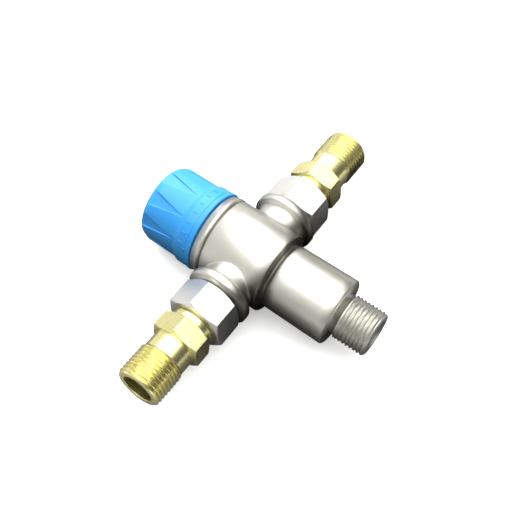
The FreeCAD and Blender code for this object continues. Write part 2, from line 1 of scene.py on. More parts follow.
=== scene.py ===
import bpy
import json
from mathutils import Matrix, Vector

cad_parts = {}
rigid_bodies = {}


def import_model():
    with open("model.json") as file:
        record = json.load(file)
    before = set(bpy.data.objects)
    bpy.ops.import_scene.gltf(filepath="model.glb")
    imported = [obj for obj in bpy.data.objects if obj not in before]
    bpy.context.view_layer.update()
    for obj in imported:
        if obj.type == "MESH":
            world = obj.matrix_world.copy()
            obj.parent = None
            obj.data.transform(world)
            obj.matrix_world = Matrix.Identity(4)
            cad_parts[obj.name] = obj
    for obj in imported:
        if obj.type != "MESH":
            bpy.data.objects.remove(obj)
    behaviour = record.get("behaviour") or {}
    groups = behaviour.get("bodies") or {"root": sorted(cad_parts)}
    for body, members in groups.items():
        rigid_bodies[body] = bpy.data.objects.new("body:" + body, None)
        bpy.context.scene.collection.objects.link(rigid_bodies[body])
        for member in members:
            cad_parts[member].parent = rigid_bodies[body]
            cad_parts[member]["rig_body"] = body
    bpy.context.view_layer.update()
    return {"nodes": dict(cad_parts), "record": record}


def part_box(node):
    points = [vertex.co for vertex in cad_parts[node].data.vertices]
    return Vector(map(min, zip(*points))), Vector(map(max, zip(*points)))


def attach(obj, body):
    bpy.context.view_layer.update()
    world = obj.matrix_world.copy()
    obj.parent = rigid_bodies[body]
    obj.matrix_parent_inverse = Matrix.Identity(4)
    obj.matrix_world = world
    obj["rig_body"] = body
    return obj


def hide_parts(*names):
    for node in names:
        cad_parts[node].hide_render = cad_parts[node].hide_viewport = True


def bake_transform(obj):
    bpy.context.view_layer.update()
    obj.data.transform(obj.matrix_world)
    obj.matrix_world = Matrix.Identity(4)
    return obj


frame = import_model()

import json
import math
import bmesh
import bpy
import numpy as np
from mathutils import Matrix, Vector

# A thermostatic mixing valve lying on a pale table. Sizes are in millimetres unless a note says otherwise;
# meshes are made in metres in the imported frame.
mm = 0.001
nodes = frame["nodes"]
teeY = (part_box("cold_tail")[0].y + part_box("cold_tail")[1].y) / 2 / mm   # the arms' axis, counted along Y
sharpDegrees = {"made": 38.0, "copied": 32.0, "cap": 42.0, "marks": 50.0}   # sharper edges stay crisp
weldGap = 0.002         # points of a copy that are nearer than this become one
print("frame loaded, arms at y", round(teeY, 2))


def linearColour(hexText):
    # sRGB hex to linear: c / 12.92 near black, otherwise (c + 0.055) / 1.055 to the power 2.4
    c = np.array([int(hexText[k:k + 2], 16) for k in (1, 3, 5)]) / 255
    low, high = c / 12.92, ((c + 0.055) / 1.055) ** 2.4
    return (*np.where(c <= 0.04045, low, high).tolist(), 1.0)


def addNode(tree, kind, settings=None, links=None):
    # one node, its settings by socket or property name, and the links into it
    node = tree.nodes.new(kind)
    for key, value in (settings or {}).items():
        if isinstance(key, int) or key in node.inputs:
            node.inputs[key].default_value = value
        else:
            setattr(node, key, value)
    for key, source in (links or {}).items():
        tree.links.new(source, node.inputs[key])
    return node


def emptyTree(owner):
    # the cleared node tree of a material or a world
    owner.use_nodes = True
    owner.node_tree.nodes.clear()
    return owner.node_tree


def addObject(name, data):
    # a new object at the origin, in the scene
    item = bpy.data.objects.new(name, data)
    bpy.context.scene.collection.objects.link(item)
    return item


def shadeSmooth(mesh, degrees, material):
    # smooth faces with crisp edges past an angle, all in one material
    mesh.shade_smooth()
    mesh.set_sharp_from_angle(angle=math.radians(degrees))
    mesh.materials.append(material)


def smoothStep(value, low, high):
    # 0 up to low, 1 from high on, and three t squared less two t cubed between them
    t = np.clip((value - low) / (high - low), 0, 1)
    return t * t * (3 - 2 * t)


def softMin(a, b, blend):
    # the smaller of two radii, rounded over where they meet: half of a + b less the root of
    # (a - b) squared + blend squared
    return 0.5 * (a + b - np.sqrt((a - b) ** 2 + blend * blend))


def buildMesh(name, points, quads, material, sharp="made"):
    # a mesh from whole arrays: points in mm, quads as rows of four, turned outwards by its signed volume
    a, b, c, d = (points[quads[:, k]] for k in range(4))
    volume = np.einsum("ij,ij->i", a, np.cross(b, c)).sum() + np.einsum("ij,ij->i", a, np.cross(c, d)).sum()
    if volume < 0:
        quads = quads[:, ::-1]
    mesh = bpy.data.meshes.new(name)
    mesh.vertices.add(len(points))
    mesh.vertices.foreach_set("co", (points * mm).astype(np.float32).ravel())
    mesh.loops.add(quads.size)
    mesh.loops.foreach_set("vertex_index", quads.astype(np.int32).ravel())
    mesh.polygons.add(len(quads))
    mesh.polygons.foreach_set("loop_start", np.arange(0, quads.size, 4, dtype=np.int32))
    mesh.update(calc_edges=True)
    mesh.validate()
    shadeSmooth(mesh, sharpDegrees[sharp], material)
    return addObject(name, mesh)


def closedGrid(rows, columns):
    # quads of a grid that closes on itself both ways, like the skin of a ring
    k, j = np.meshgrid(np.arange(rows), np.arange(columns), indexing="ij")
    k2, j2 = (k + 1) % rows, (j + 1) % columns
    quads = np.stack([k * columns + j, k * columns + j2, k2 * columns + j2, k2 * columns + j], -1)
    return quads.reshape(-1, 4)


def turnedPoints(axis, along, radius, angle):
    # point = (along the axis, radius x sine, radius x cosine); the angle starts at +Z
    along, radius, angle = np.broadcast_arrays(along, radius, angle)
    across, up = radius * np.sin(angle), radius * np.cos(angle)
    columns = (along, across + teeY, up) if axis == "x" else (across, along + teeY, up)
    return np.stack(columns, -1).reshape(-1, 3)


def wholeTurn(columns):
    # even angles once round, the last one short of the first
    return np.linspace(0, 2 * math.pi, columns, endpoint=False)[None, :]


# a corner's least rounding, the most it takes of the shorter run beside it, how many roundings away its
# support points stand, and the points on its curve
cornerForm = {"least": 0.03, "share": 0.3, "support": 1.5, "steps": 4}


def profileLoop(corners):
    # closed outline from rows of (along, radius, rounding, pieces in the run that follows);
    # each corner becomes a small quadratic curve between two support points
    f = cornerForm
    table = np.array(corners, float)
    spot, wanted = table[:, :2], np.maximum(table[:, 2], f["least"])
    toPrevious, toNext = np.roll(spot, 1, 0) - spot, np.roll(spot, -1, 0) - spot
    lengthPrevious = np.linalg.norm(toPrevious, axis=1)
    lengthNext = np.linalg.norm(toNext, axis=1)
    reach = np.minimum(wanted, f["share"] * np.minimum(lengthPrevious, lengthNext))[:, None]
    backReach = toPrevious / lengthPrevious[:, None] * reach
    onReach = toNext / lengthNext[:, None] * reach
    start, end = spot + backReach, spot + onReach
    s = np.linspace(0, 1, f["steps"])[None, :, None]
    arc = (1 - s) ** 2 * start[:, None] + 2 * s * (1 - s) * spot[:, None] + s * s * end[:, None]
    before, after = spot + backReach * f["support"], spot + onReach * f["support"]
    parts = []
    for k in range(len(table)):
        parts += [before[k:k + 1], arc[k], after[k:k + 1]]
        pieces = int(table[k, 3])
        if pieces > 1:
            t = np.linspace(0, 1, pieces + 1)[1:-1, None]
            parts.append(after[k] * (1 - t) + before[(k + 1) % len(table)] * t)
    return np.concatenate(parts)


def hexRadius(acrossFlats, angle, turn):
    # half the width across the flats over the cosine of the angle from the side's middle, corner at turn
    sixth = math.pi / 3
    return acrossFlats / 2 / np.cos(np.mod(angle - turn, sixth) - sixth / 2)


def threadDip(along, angle, thread):
    # how far a thread's surface lies below its crest: a rounded triangle wave that advances a pitch each turn
    phase = 2 * math.pi * along / thread["pitch"] + thread["hand"] * angle
    wave = np.arcsin(thread["crisp"] * np.cos(phase)) / math.asin(thread["crisp"])
    return thread["depth"] * (0.5 - 0.5 * wave)


def finishPiece(piece, body, replaced=()):
    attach(piece, body)
    if replaced:
        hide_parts(*replaced)
    return piece


def smoothCopy(node, name, material, change=None, between=None):
    source = bmesh.new()
    source.from_mesh(nodes[node].data)
    bmesh.ops.remove_doubles(source, verts=source.verts, dist=weldGap * mm)
    mesh = bpy.data.meshes.new(name)
    source.to_mesh(mesh)
    source.free()
    if change:
        co = np.empty(len(mesh.vertices) * 3, np.float32)
        mesh.vertices.foreach_get("co", co)
        mesh.vertices.foreach_set("co", change(co.reshape(-1, 3)).ravel())
        mesh.update()
    mesh.materials.clear()
    shadeSmooth(mesh, sharpDegrees["copied"], material)
    piece = addObject(name, mesh)
    if between:
        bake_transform(piece)
        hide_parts(node)
        return piece
    return finishPiece(piece, nodes[node]["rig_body"], [node])


def newFinish(name, settings, colour, darker, blotch, grain, bump, detail, dentDepth):
    # A finish in two layers of noise: slow blotches between two near colours, and a fine grain that dents the
    # surface. The real grain is some hundredths of a millimetre; it is drawn at 0.2 to 0.4 mm, as coarse as
    # it needs to be to show. Detail is that of the blotches and that of the grain.
    material = bpy.data.materials.new(name)
    tree = emptyTree(material)
    shader = addNode(tree, "ShaderNodeBsdfPrincipled", settings)
    addNode(tree, "ShaderNodeOutputMaterial", links={"Surface": shader.outputs["BSDF"]})
    place = addNode(tree, "ShaderNodeTexCoord").outputs["Object"]
    slow = addNode(tree, "ShaderNodeTexNoise", {"Scale": 1 / (blotch * mm), "Detail": detail[0]},
                   {"Vector": place})
    tint = addNode(tree, "ShaderNodeMix",
                   {"data_type": "RGBA", 6: linearColour(colour), 7: linearColour(darker)},
                   {0: slow.outputs["Fac"]})
    fine = addNode(tree, "ShaderNodeTexNoise", {"Scale": 1 / (grain * mm), "Detail": detail[1]},
                   {"Vector": place}).outputs["Fac"]
    dent = addNode(tree, "ShaderNodeBump", {"Strength": bump, "Distance": dentDepth * mm}, {"Height": fine})
    tree.links.new(tint.outputs[2], shader.inputs["Base Color"])
    tree.links.new(dent.outputs["Normal"], shader.inputs["Normal"])
    return material, tree, shader, fine


def grainyMetal(name, colour, darker, roughness, spread, grain, bump, blotch=6.0):
    # A plated or turned metal: the grain also varies the roughness, by spread either way.
    material, tree, shader, fine = newFinish(name, {"Metallic": 1.0, "Roughness": roughness}, colour, darker,
                                             blotch, grain, bump, detail=(3.0, 2.0), dentDepth=0.05)
    rough = addNode(tree, "ShaderNodeMapRange", {"To Min": roughness - spread, "To Max": roughness + spread},
                    {"Value": fine})
    tree.links.new(rough.outputs["Result"], shader.inputs["Roughness"])
    return material


def mouldedPlastic(name, colour, darker, roughness, ior, grain, bump, blotch=9.0):
    # An injection moulding: even colour with a faint slow shift, and the tool's fine spark texture.
    return newFinish(name, {"Roughness": roughness, "IOR": ior}, colour, darker,
                     blotch, grain, bump, detail=(2.0, 3.0), dentDepth=0.04)[0]


# Nickel plate over a brass casting: warm grey, satin, soft wide highlights.
satinNickel = grainyMetal("satinNickelOnCastBrass", "#D0CFC8", "#C6C4BA", roughness=0.40, spread=0.05,
                          grain=0.35, bump=0.25)
# Nickel plate over a milled bar: flatter and brighter than the casting.
barNickel = grainyMetal("nickelOnMilledBrass", "#EAE9E5", "#DFDDD8", roughness=0.38, spread=0.04,
                        grain=0.25, bump=0.15)
# Free-cutting brass as turned and milled: pale greenish yellow, glossier than the plate.
turnedBrass = grainyMetal("turnedBrass", "#F2E9B6", "#DDD798", roughness=0.27, spread=0.06,
                          grain=0.3, bump=0.2, blotch=4.0)
# Brass that stands in water: browner and duller.
innerBrass = grainyMetal("waterwayBrass", "#B99450", "#9C7A3E", roughness=0.42, spread=0.06,
                         grain=0.4, bump=0.3)
# Drawn stainless wire: clean grey with sharp highlights.
springSteel = grainyMetal("stainlessWire", "#B9B9B7", "#A2A2A0", roughness=0.28, spread=0.05,
                          grain=0.2, bump=0.1)
# Deep-drawn copper cup of the heat sensor: salmon, fairly bright.
sensorCopper = grainyMetal("drawnCopper", "#C98158", "#A9633F", roughness=0.33, spread=0.05,
                           grain=0.3, bump=0.2)
# Moulded ABS from a lightly spark-eroded tool: clear sky blue, semi-gloss.
blueAbs = mouldedPlastic("blueAbs", "#45ABF2", "#3DA0EA", roughness=0.36, ior=1.53, grain=0.35, bump=0.25)
# Moulded acetal, white and black: waxy, semi-matt.
whiteAcetal = mouldedPlastic("whiteAcetal", "#E9E7DF", "#DEDBD0", roughness=0.42, ior=1.48,
                             grain=0.4, bump=0.15)
blackAcetal = mouldedPlastic("blackAcetal", "#1B1B1D", "#141416", roughness=0.4, ior=1.48,
                             grain=0.4, bump=0.15)
# Moulded ethylene rubber: near black and dull.
blackRubber = mouldedPlastic("mouldedRubber", "#121212", "#1A1A1A", roughness=0.7, ior=1.5,
                             grain=0.25, bump=0.3)

# Painted shade: a dark band painted into the casting's colour along the step under the barrel, where the
# shade falls. Its centre line at mid width, counted from the arms' axis, how far the line moves towards the
# bosses and the band widens for each mm sideways, its half width at mid width, and how much of the colour it
# takes at its darkest.
waistShade = {"centre": -15.6, "shift": 0.13, "half": 1.9, "widening": 0.33, "share": 0.88, "colour": "#6E6C64"}


def paintWaistShade(material):
    # the painted shade's mask = share on the centre line, falling smoothly to 0 at a half width away from it,
    # where centre line = centre + shift x sideways and half width = half + widening x sideways
    tree = material.node_tree
    shader = next(node for node in tree.nodes if node.type == "BSDF_PRINCIPLED")
    plain = shader.inputs["Base Color"].links[0].from_socket
    place = addNode(tree, "ShaderNodeTexCoord").outputs["Object"]
    parts = addNode(tree, "ShaderNodeSeparateXYZ", links={"Vector": place}).outputs
    sideways = addNode(tree, "ShaderNodeMath", {"operation": "ABSOLUTE"}, {0: parts["X"]}).outputs[0]
    line = addNode(tree, "ShaderNodeMath", {"operation": "MULTIPLY_ADD", 1: waistShade["shift"],
                                            2: (teeY + waistShade["centre"]) * mm}, {0: sideways}).outputs[0]
    width = addNode(tree, "ShaderNodeMath", {"operation": "MULTIPLY_ADD", 1: waistShade["widening"],
                                             2: waistShade["half"] * mm}, {0: sideways}).outputs[0]
    offset = addNode(tree, "ShaderNodeMath", {"operation": "SUBTRACT"}, {0: parts["Y"], 1: line}).outputs[0]
    apart = addNode(tree, "ShaderNodeMath", {"operation": "ABSOLUTE"}, {0: offset}).outputs[0]
    shadeMask = addNode(tree, "ShaderNodeMapRange",
                   {"interpolation_type": "SMOOTHSTEP", "To Min": waistShade["share"], "To Max": 0.0},
                   {"Value": apart, "From Max": width})
    # the painted shade: the casting's colour is mixed towards the band's dark colour by the mask
    tint = addNode(tree, "ShaderNodeMix", {"data_type": "RGBA", 7: linearColour(waistShade["colour"])},
                   {0: shadeMask.outputs["Result"], 6: plain})
    tree.links.new(tint.outputs[2], shader.inputs["Base Color"])


# paint the shade band at the waist step into the satin nickel's colour
paintWaistShade(satinNickel)
print("finishes made")

# Half-inch parallel pipe thread, 14 to the inch. The hand makes it right-handed: 1 about X, -1 about Y.
pipeThread = {"pitch": 1.814, "depth": 1.16, "crest": 10.48, "samples": 12, "crisp": 0.93, "hand": 1}
castThread = {**pipeThread, "depth": 0.72, "crisp": 0.8, "hand": -1}   # the casting's: shallower and softer
outletForm = {"threadEnd": 15.2, "coreRadius": 9.2, "reliefRadius": 9.5, "endChamfer": 1.1, "endRadius": 9.5,
              "shoulder": 0.3, "shoulderDrop": 0.5, "leadIn": (-0.2, 0.6), "runOut": 1.2, "margin": 0.05,
              "columns": 112}


def sinkOutlet(points):
    # draws the plain outlet stub in to its core, to leave room for the thread ring; points are in metres
    f = outletForm
    radius = np.hypot(points[:, 0], points[:, 2])
    onThread = points[:, 1] < (f["threadEnd"] + f["margin"]) * mm
    stub = onThread & (radius > (f["reliefRadius"] + f["margin"]) * mm)
    scale = np.where(stub, f["coreRadius"] * mm / np.where(stub, radius, 1), 1)
    moved = points.copy()
    moved[:, 0] *= scale
    moved[:, 2] *= scale
    return moved


def outletThread():
    # ring round the outlet: radius = crest less the thread's dip, running out at both ends
    f, t = outletForm, castThread
    low, high = -teeY, -teeY + f["threadEnd"]
    turns = (f["threadEnd"] - f["endChamfer"]) / t["pitch"]
    loop = profileLoop([
        (low, f["coreRadius"], 0, 1), (low, f["endRadius"], 0.15, 6),
        (low + f["endChamfer"], t["crest"], 0.15, int(turns * t["samples"])),
        (high - f["shoulder"], t["crest"], 0.1, 2), (high, t["crest"] - f["shoulderDrop"], 0.1, 3),
        (high, f["coreRadius"], 0, 1)])
    angle = wholeTurn(f["columns"])
    along, radius = loop[:, :1], loop[:, 1:]
    leadIn = smoothStep(along, low + f["leadIn"][0], low + f["leadIn"][1])
    dip = threadDip(along, angle, t) * leadIn * (1 - smoothStep(along, high - f["runOut"], high))
    least = f["coreRadius"] + f["margin"]
    radius = np.where(radius > least, np.minimum(radius, np.maximum(t["crest"] - dip, least)), radius)
    points = turnedPoints("y", along, radius, angle)
    piece = buildMesh("outletThread", points, closedGrid(len(loop), angle.size), satinNickel)
    return finishPiece(piece, "valve")


smoothCopy("valve_body", "valveCasting", satinNickel, sinkOutlet)
outletThread()

# Along an arm, lengths count from the tee's centre. hexFace is the radius of a hexagon's flat end face. The
# outline is cut to the hexagon where it passes the tail's neck, or the nut's end face, to within clear.
tailForm = {"innerEnd": 36.0, "foot": 9.0, "groove": (37.6, 38.9, 8.3), "step": 42.3, "neck": 9.8,
            "hexStart": 45.4, "hexEnd": 54.9, "across": 22.0, "hexFace": 10.7, "hexBlend": 0.08,
            "outerNeck": 9.6, "threadStart": 62.6, "threadRise": 0.9, "leadIn": (-0.1, 1.3), "end": 78.3,
            "endChamfer": 1.2, "endRadius": 9.4, "endFade": 0.6, "endShallower": 0.35, "bore": 7.3,
            "mouth": 7.0, "recess": (37.2, 8.1), "boreStep": 57.0, "skin": 9.3, "margin": 0.01}
nutForm = {"start": 27.4, "end": 41.9, "across": 25.0, "hexFace": 12.1, "hexBlend": 0.1, "bore": 10.56,
           "mouthChamfer": 0.8, "lipBore": 9.15, "lip": 38.9, "turn": 10.0}
hexForm = {"overCorner": 0.02, "bevelDegrees": 30.0, "edge": 0.08, "corner": 0.2, "bevelPieces": 14,
           "sidePieces": 4, "clear": 0.1, "columns": 120}


def hexBand(face, across, low, high):
    # outline corners of a hexagon's turned envelope, with its ends taken off at an angle
    h = hexForm
    corner = across / math.sqrt(3) + h["overCorner"]
    bevel = (corner - face) * math.tan(math.radians(h["bevelDegrees"]))
    return [(low, face, h["edge"], h["bevelPieces"]), (low + bevel, corner, h["corner"], h["sidePieces"]),
            (high - bevel, corner, h["corner"], h["bevelPieces"]), (high, face, h["edge"], 2)]


def armPoints(loop, radius, angle, opposite):
    # the hot arm is the cold arm turned half round about Z
    points = turnedPoints("x", loop[:, :1], radius, angle)
    if opposite:
        points[:, 0] *= -1
        points[:, 1] = 2 * teeY - points[:, 1]
    return points


def tailSurface(side, turnDegrees, opposite):
    # radius = outline, cut to the hexagon between the necks and dipped by the thread near the end
    f, t = tailForm, pipeThread
    threadTop, threadEnd = f["threadStart"] + f["threadRise"], f["end"] - f["endChamfer"]
    grooveStart, grooveEnd, grooveRadius = f["groove"]
    recessEnd, recessRadius = f["recess"]
    threadLength = f["end"] - f["endChamfer"] - f["threadStart"] - f["threadRise"]
    threadPieces = int(threadLength / t["pitch"] * t["samples"])
    loop = profileLoop([
        (f["innerEnd"], f["foot"], 0.2, 1), (grooveStart, f["foot"], 0.05, 1),
        (grooveStart, grooveRadius, 0.05, 1), (grooveEnd, grooveRadius, 0.05, 1),
        (grooveEnd, f["foot"], 0.05, 1), (f["step"], f["foot"], 0.05, 1),
        (f["step"], f["neck"], 0.15, 1), (f["hexStart"], f["neck"], 0.12, 1),
        *hexBand(f["hexFace"], f["across"], f["hexStart"], f["hexEnd"]),
        (f["hexEnd"], f["outerNeck"], 0.12, 1), (f["threadStart"], f["outerNeck"], 0.1, 4),
        (threadTop, t["crest"], 0.1, threadPieces), (threadEnd, t["crest"], 0.15, 6),
        (f["end"], f["endRadius"], 0.15, 1), (f["end"], f["mouth"], 0.3, 1),
        (f["boreStep"], f["mouth"], 0.1, 1), (f["boreStep"], f["bore"], 0.05, 1),
        (recessEnd, f["bore"], 0.1, 1), (recessEnd, recessRadius, 0.05, 1),
        (f["innerEnd"], recessRadius, 0.1, 1)])
    turn = math.radians(turnDegrees)
    angle = turn + wholeTurn(hexForm["columns"])
    along, outline = loop[:, :1], loop[:, 1:]
    skin = outline > f["skin"]
    inHex = skin & (along > f["hexStart"] - f["margin"]) & (along < f["hexEnd"] + f["margin"])
    cut = softMin(outline, hexRadius(f["across"], angle, turn), f["hexBlend"])
    radius = np.where(inHex & (outline > f["neck"] + hexForm["clear"]), cut, outline)
    leadIn = smoothStep(along, f["threadStart"] + f["leadIn"][0], f["threadStart"] + f["leadIn"][1])
    fade = leadIn * (1 - f["endShallower"] * smoothStep(along, f["end"] - f["endFade"], f["end"]))
    dip = threadDip(along, angle, t) * fade
    radius = np.where(skin & (along > f["threadStart"]), np.minimum(radius, t["crest"] - dip), radius)
    points = armPoints(loop, radius, angle, opposite)
    piece = buildMesh(side + "TailBrass", points, closedGrid(len(loop), angle.size), turnedBrass)
    return finishPiece(piece, "valve", [side + "_tail"])


def nutSurface(side, opposite):
    # radius = turned envelope cut to the hexagon, round a stepped bore
    f = nutForm
    loop = profileLoop([
        (f["start"], f["bore"] + f["mouthChamfer"], 0.08, 1),
        *hexBand(f["hexFace"], f["across"], f["start"], f["end"]),
        (f["end"], f["lipBore"], 0.15, 1), (f["lip"], f["lipBore"], 0.05, 1), (f["lip"], f["bore"], 0.05, 1),
        (f["start"] + f["mouthChamfer"], f["bore"], 0.05, 1)])
    turn = math.radians(f["turn"] * (-1 if opposite else 1))
    angle = turn + wholeTurn(hexForm["columns"])
    outline = loop[:, 1:]
    cut = softMin(outline, hexRadius(f["across"], angle, turn), f["hexBlend"])
    radius = np.where(outline > f["hexFace"] - hexForm["clear"], cut, outline)
    points = armPoints(loop, radius, angle, opposite)
    piece = buildMesh(side + "NutNickel", points, closedGrid(len(loop), angle.size), barNickel)
    return finishPiece(piece, side + "_nut", [side + "_union_nut"])


for side, turnDegrees, opposite in (("cold", 12.0, False), ("hot", -3.0, True)):
    tailSurface(side, turnDegrees, opposite)
    nutSurface(side, opposite)
print("casting, thread and arms made")

# Along the cap, lengths count from the arms' axis; rimHeight and skirtFoot count from the cap's bottom. The
# cap's outer skin ends at the radius outerEnd. A flute's columns are given in half widths of the flute; they
# crowd at its edges, so that its walls stay crisp.
capForm = {"bottom": 21.4, "rim": 19.5, "rimEdge": 0.3, "rimHeight": 1.0, "skirtFoot": 1.2, "skirt": 19.3,
           "skirtTop": 28.4, "flareTop": 30.6, "wall": 18.4, "wallPieces": 40, "outerEnd": 4.5,
           "crownStart": 45.2, "crownSteps": 8, "crown": 14.6, "top": 50.1, "well": 3.5, "wellFloor": 44.8,
           "screwHole": 1.6, "socket": 4.1, "socketTop": 43.7, "hub": 6.5, "hubBottom": 37.6, "roof": 47.9,
           "roofEdge": 1.6, "inner": 16.2, "innerRise": 1.5,
           "flutes": 10, "fluteTip": 31.5, "fluteWidth": 4.0, "fluteLeast": 1.2, "fluteDepth": 1.2,
           "tipDepth": 0.15, "tipFade": (-0.25, 0.35), "wallSpan": (0.965, 1.035), "firstFlute": -69.5,
           "columns": (-2, -1.8, -1.55, -1.3, -1.12, -1.05, -1.025, -1.0, -0.975, -0.93, -0.75, -0.5, -0.25,
                       0, 0.25, 0.5, 0.75, 0.93, 0.975, 1.0, 1.025, 1.05, 1.12, 1.3, 1.55, 1.8)}


def capSurface():
    # radius = outline, less tapered flutes whose floors are flat: floor = distance / cosine from mid flute;
    # a flute's half angle at a height = arcsine of (width x the share of the way from tip to top) / wall
    f = capForm
    rise, drop = f["top"] - f["crownStart"], f["wall"] - f["crown"]
    quarter = np.radians(np.linspace(0, 90, f["crownSteps"]))
    crown = [(f["crownStart"] + rise * math.sin(a), f["crown"] + drop * math.cos(a), 0.3, 2)
             for a in quarter]
    loop = profileLoop([
        (f["bottom"], f["rim"] - f["rimEdge"], 0.15, 1), (f["bottom"] + f["rimEdge"], f["rim"], 0.15, 1),
        (f["bottom"] + f["rimHeight"], f["rim"], 0.12, 1),
        (f["bottom"] + f["skirtFoot"], f["skirt"], 0.12, 6), (f["skirtTop"], f["skirt"], 0.3, 3),
        (f["flareTop"], f["wall"], 0.6, f["wallPieces"]),
        *crown,
        (f["top"], f["well"], 0.3, 2), (f["wellFloor"], f["well"], 0.1, 1),
        (f["wellFloor"], f["screwHole"], 0.1, 1), (f["socketTop"], f["screwHole"], 0.05, 1),
        (f["socketTop"], f["socket"], 0.05, 1), (f["hubBottom"], f["socket"], 0.1, 1),
        (f["hubBottom"], f["hub"], 0.3, 1), (f["roof"], f["hub"], 0.3, 1),
        (f["roof"], f["crown"] - f["roofEdge"], 0.5, 1),
        (f["crownStart"] + f["innerRise"], f["inner"], 0.5, 1), (f["bottom"], f["inner"], 0.15, 1)])
    outerCount = int(np.argmax(loop[:, 1] < f["outerEnd"]))
    along, outline = loop[:, :1], loop[:, 1:]
    down = np.clip((along - f["fluteTip"]) / (f["top"] - f["fluteTip"]), 0, 1)
    halfSector = math.pi / f["flutes"]
    edge = np.maximum(np.arcsin(f["fluteWidth"] * down / f["wall"]), math.radians(f["fluteLeast"]))
    spots = np.array(f["columns"])[None, :]
    beyond = np.sign(spots) * np.clip(np.abs(spots) - 1, 0, 1) * (halfSector - edge)
    offset = np.clip(spots, -1, 1) * edge + beyond
    floor = (f["wall"] - f["tipDepth"] - (f["fluteDepth"] - f["tipDepth"]) * down) / np.cos(offset)
    share = (1 - smoothStep(np.abs(spots), *f["wallSpan"])) \
        * smoothStep(along, f["fluteTip"] + f["tipFade"][0], f["fluteTip"] + f["tipFade"][1])
    outside = np.arange(len(loop))[:, None] < outerCount
    cut = np.minimum(outline, floor)
    radius = np.where(outside, outline + (cut - outline) * share, outline + 0 * offset)
    centres = math.radians(f["firstFlute"]) + 2 * halfSector * np.arange(f["flutes"])
    angle = (centres[None, :, None] + offset[:, None, :]).reshape(len(loop), -1)
    radius = np.tile(radius[:, None, :], (1, f["flutes"], 1)).reshape(len(loop), -1)
    points = turnedPoints("y", along, radius, angle)
    piece = buildMesh("fluteCap", points, closedGrid(len(loop), angle.shape[1]), blueAbs, "cap")
    return finishPiece(piece, "cap", ["adjusting_cap"])


capSurface()

# The scale raised on the cap's skirt: a wedge that grows from cooler to hotter, with ticks above it and an
# arrow head at each end. Angles are in degrees, half widths in mm.
capMarks = {"centre": -20.0, "spread": 52.0, "ticks": 7, "low": 24.3, "high": 27.9, "tickFoot": 1.5,
            "tickHalf": 0.22, "wedgeHalf": (0.2, 0.75), "arrow": (1.0, 5.0), "arrowHalf": (1.1, 0.05),
            "sunk": 0.2, "bevel": 0.06, "flat": 0.8, "rows": 24, "roundShare": 0.04, "leastEnd": 0.02}


def ribbonPoints(angle, along, half, foot, top):
    # a raised strip on a cylinder about Y: at each step along the strip a flat-topped section of eight
    # points, set square to the strip's own direction
    run, climb = np.gradient(angle) * top, np.gradient(along)
    length = np.hypot(run, climb)
    sideAngle, sideAlong = -climb / length / top, run / length
    flat, shoulder = capMarks["flat"], top - capMarks["bevel"]
    across = np.array([-1, -1, -flat, 0, flat, 1, 1, 0])
    height = np.array([foot, shoulder, top, top, top, shoulder, foot, foot])
    a = angle[:, None] + sideAngle[:, None] * half[:, None] * across[None, :]
    y = along[:, None] + sideAlong[:, None] * half[:, None] * across[None, :]
    return turnedPoints("y", y, height[None, :], a)


def ribbonQuads(rows, first):
    # grid round the section and along the strip, with both ends closed
    k, j = np.meshgrid(np.arange(rows - 1), np.arange(8), indexing="ij")
    j2 = (j + 1) % 8
    skin = np.stack([k * 8 + j, k * 8 + j2, (k + 1) * 8 + j2, (k + 1) * 8 + j], -1).reshape(-1, 4)
    cap = np.array([[0, 1, 2, 3], [3, 4, 5, 6], [6, 7, 0, 3]])
    return np.concatenate([skin, cap[:, ::-1], cap + (rows - 1) * 8]) + first


def capScale():
    # strips are rows of (first angle, last angle, y, last y, first half width, last half width); a strip's
    # half width is narrowed over its last share like a circle's: the root of 1 - distance squared
    f = capMarks
    a0, a1 = f["centre"] - f["spread"], f["centre"] + f["spread"]
    strips = [(a0, a1, f["low"], f["low"], *f["wedgeHalf"])]
    for k in range(f["ticks"]):
        a = a0 + (a1 - a0) * (k + 0.5) / f["ticks"]
        strips.append((a, a, f["low"] + f["tickFoot"], f["high"], f["tickHalf"], f["tickHalf"]))
    inward, outward = f["arrow"]
    for end, way in ((a0, -1), (a1, 1)):
        strips.append((end - way * inward, end + way * outward, f["low"], f["low"], *f["arrowHalf"]))
    points, quads = [], []
    s = np.linspace(0, 1, f["rows"])
    fromEnd = np.clip(np.abs(s - 0.5) - (0.5 - f["roundShare"]), 0, 1) / f["roundShare"]
    narrowed = np.sqrt(np.clip(1 - fromEnd ** 2, f["leastEnd"], 1))
    for first, last, y0, y1, half0, half1 in strips:
        quads.append(ribbonQuads(f["rows"], sum(len(p) for p in points)))
        points.append(ribbonPoints(np.radians(first + (last - first) * s), y0 + (y1 - y0) * s,
                                   (half0 + (half1 - half0) * s) * narrowed,
                                   capForm["skirt"] - f["sunk"], capForm["rim"]))
    piece = buildMesh("capScale", np.concatenate(points), np.concatenate(quads), blueAbs, "marks")
    return finishPiece(piece, "cap")


capScale()
smoothCopy("bonnet_ring", "bonnetNickel", satinNickel)
smoothCopy("cap_screw", "capScrewSteel", springSteel)

# springs: node, body that holds one end, body that presses the other, axis, and whether the held end is the
# high one; each coil is copied where it stands, with no body to follow
springs = (("overload_spring", "adjuster", "overload", 1, True),
           ("return_spring", "valve", "adjuster", 1, False),
           ("hot_check_spring", "valve", "hot_poppet", 0, True),
           ("cold_check_spring", "valve", "cold_poppet", 0, False))
for node, holder, presser, axis, heldHigh in springs:
    low, high = (list(corner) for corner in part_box(node))
    held = [(a + b) / 2 for a, b in zip(low, high)]
    pressed = list(held)
    held[axis], pressed[axis] = (high[axis], low[axis]) if heldHigh else (low[axis], high[axis])
    smoothCopy(node, node.replace("_", "") + "Wire", springSteel,
               between=(holder, presser, held, pressed))

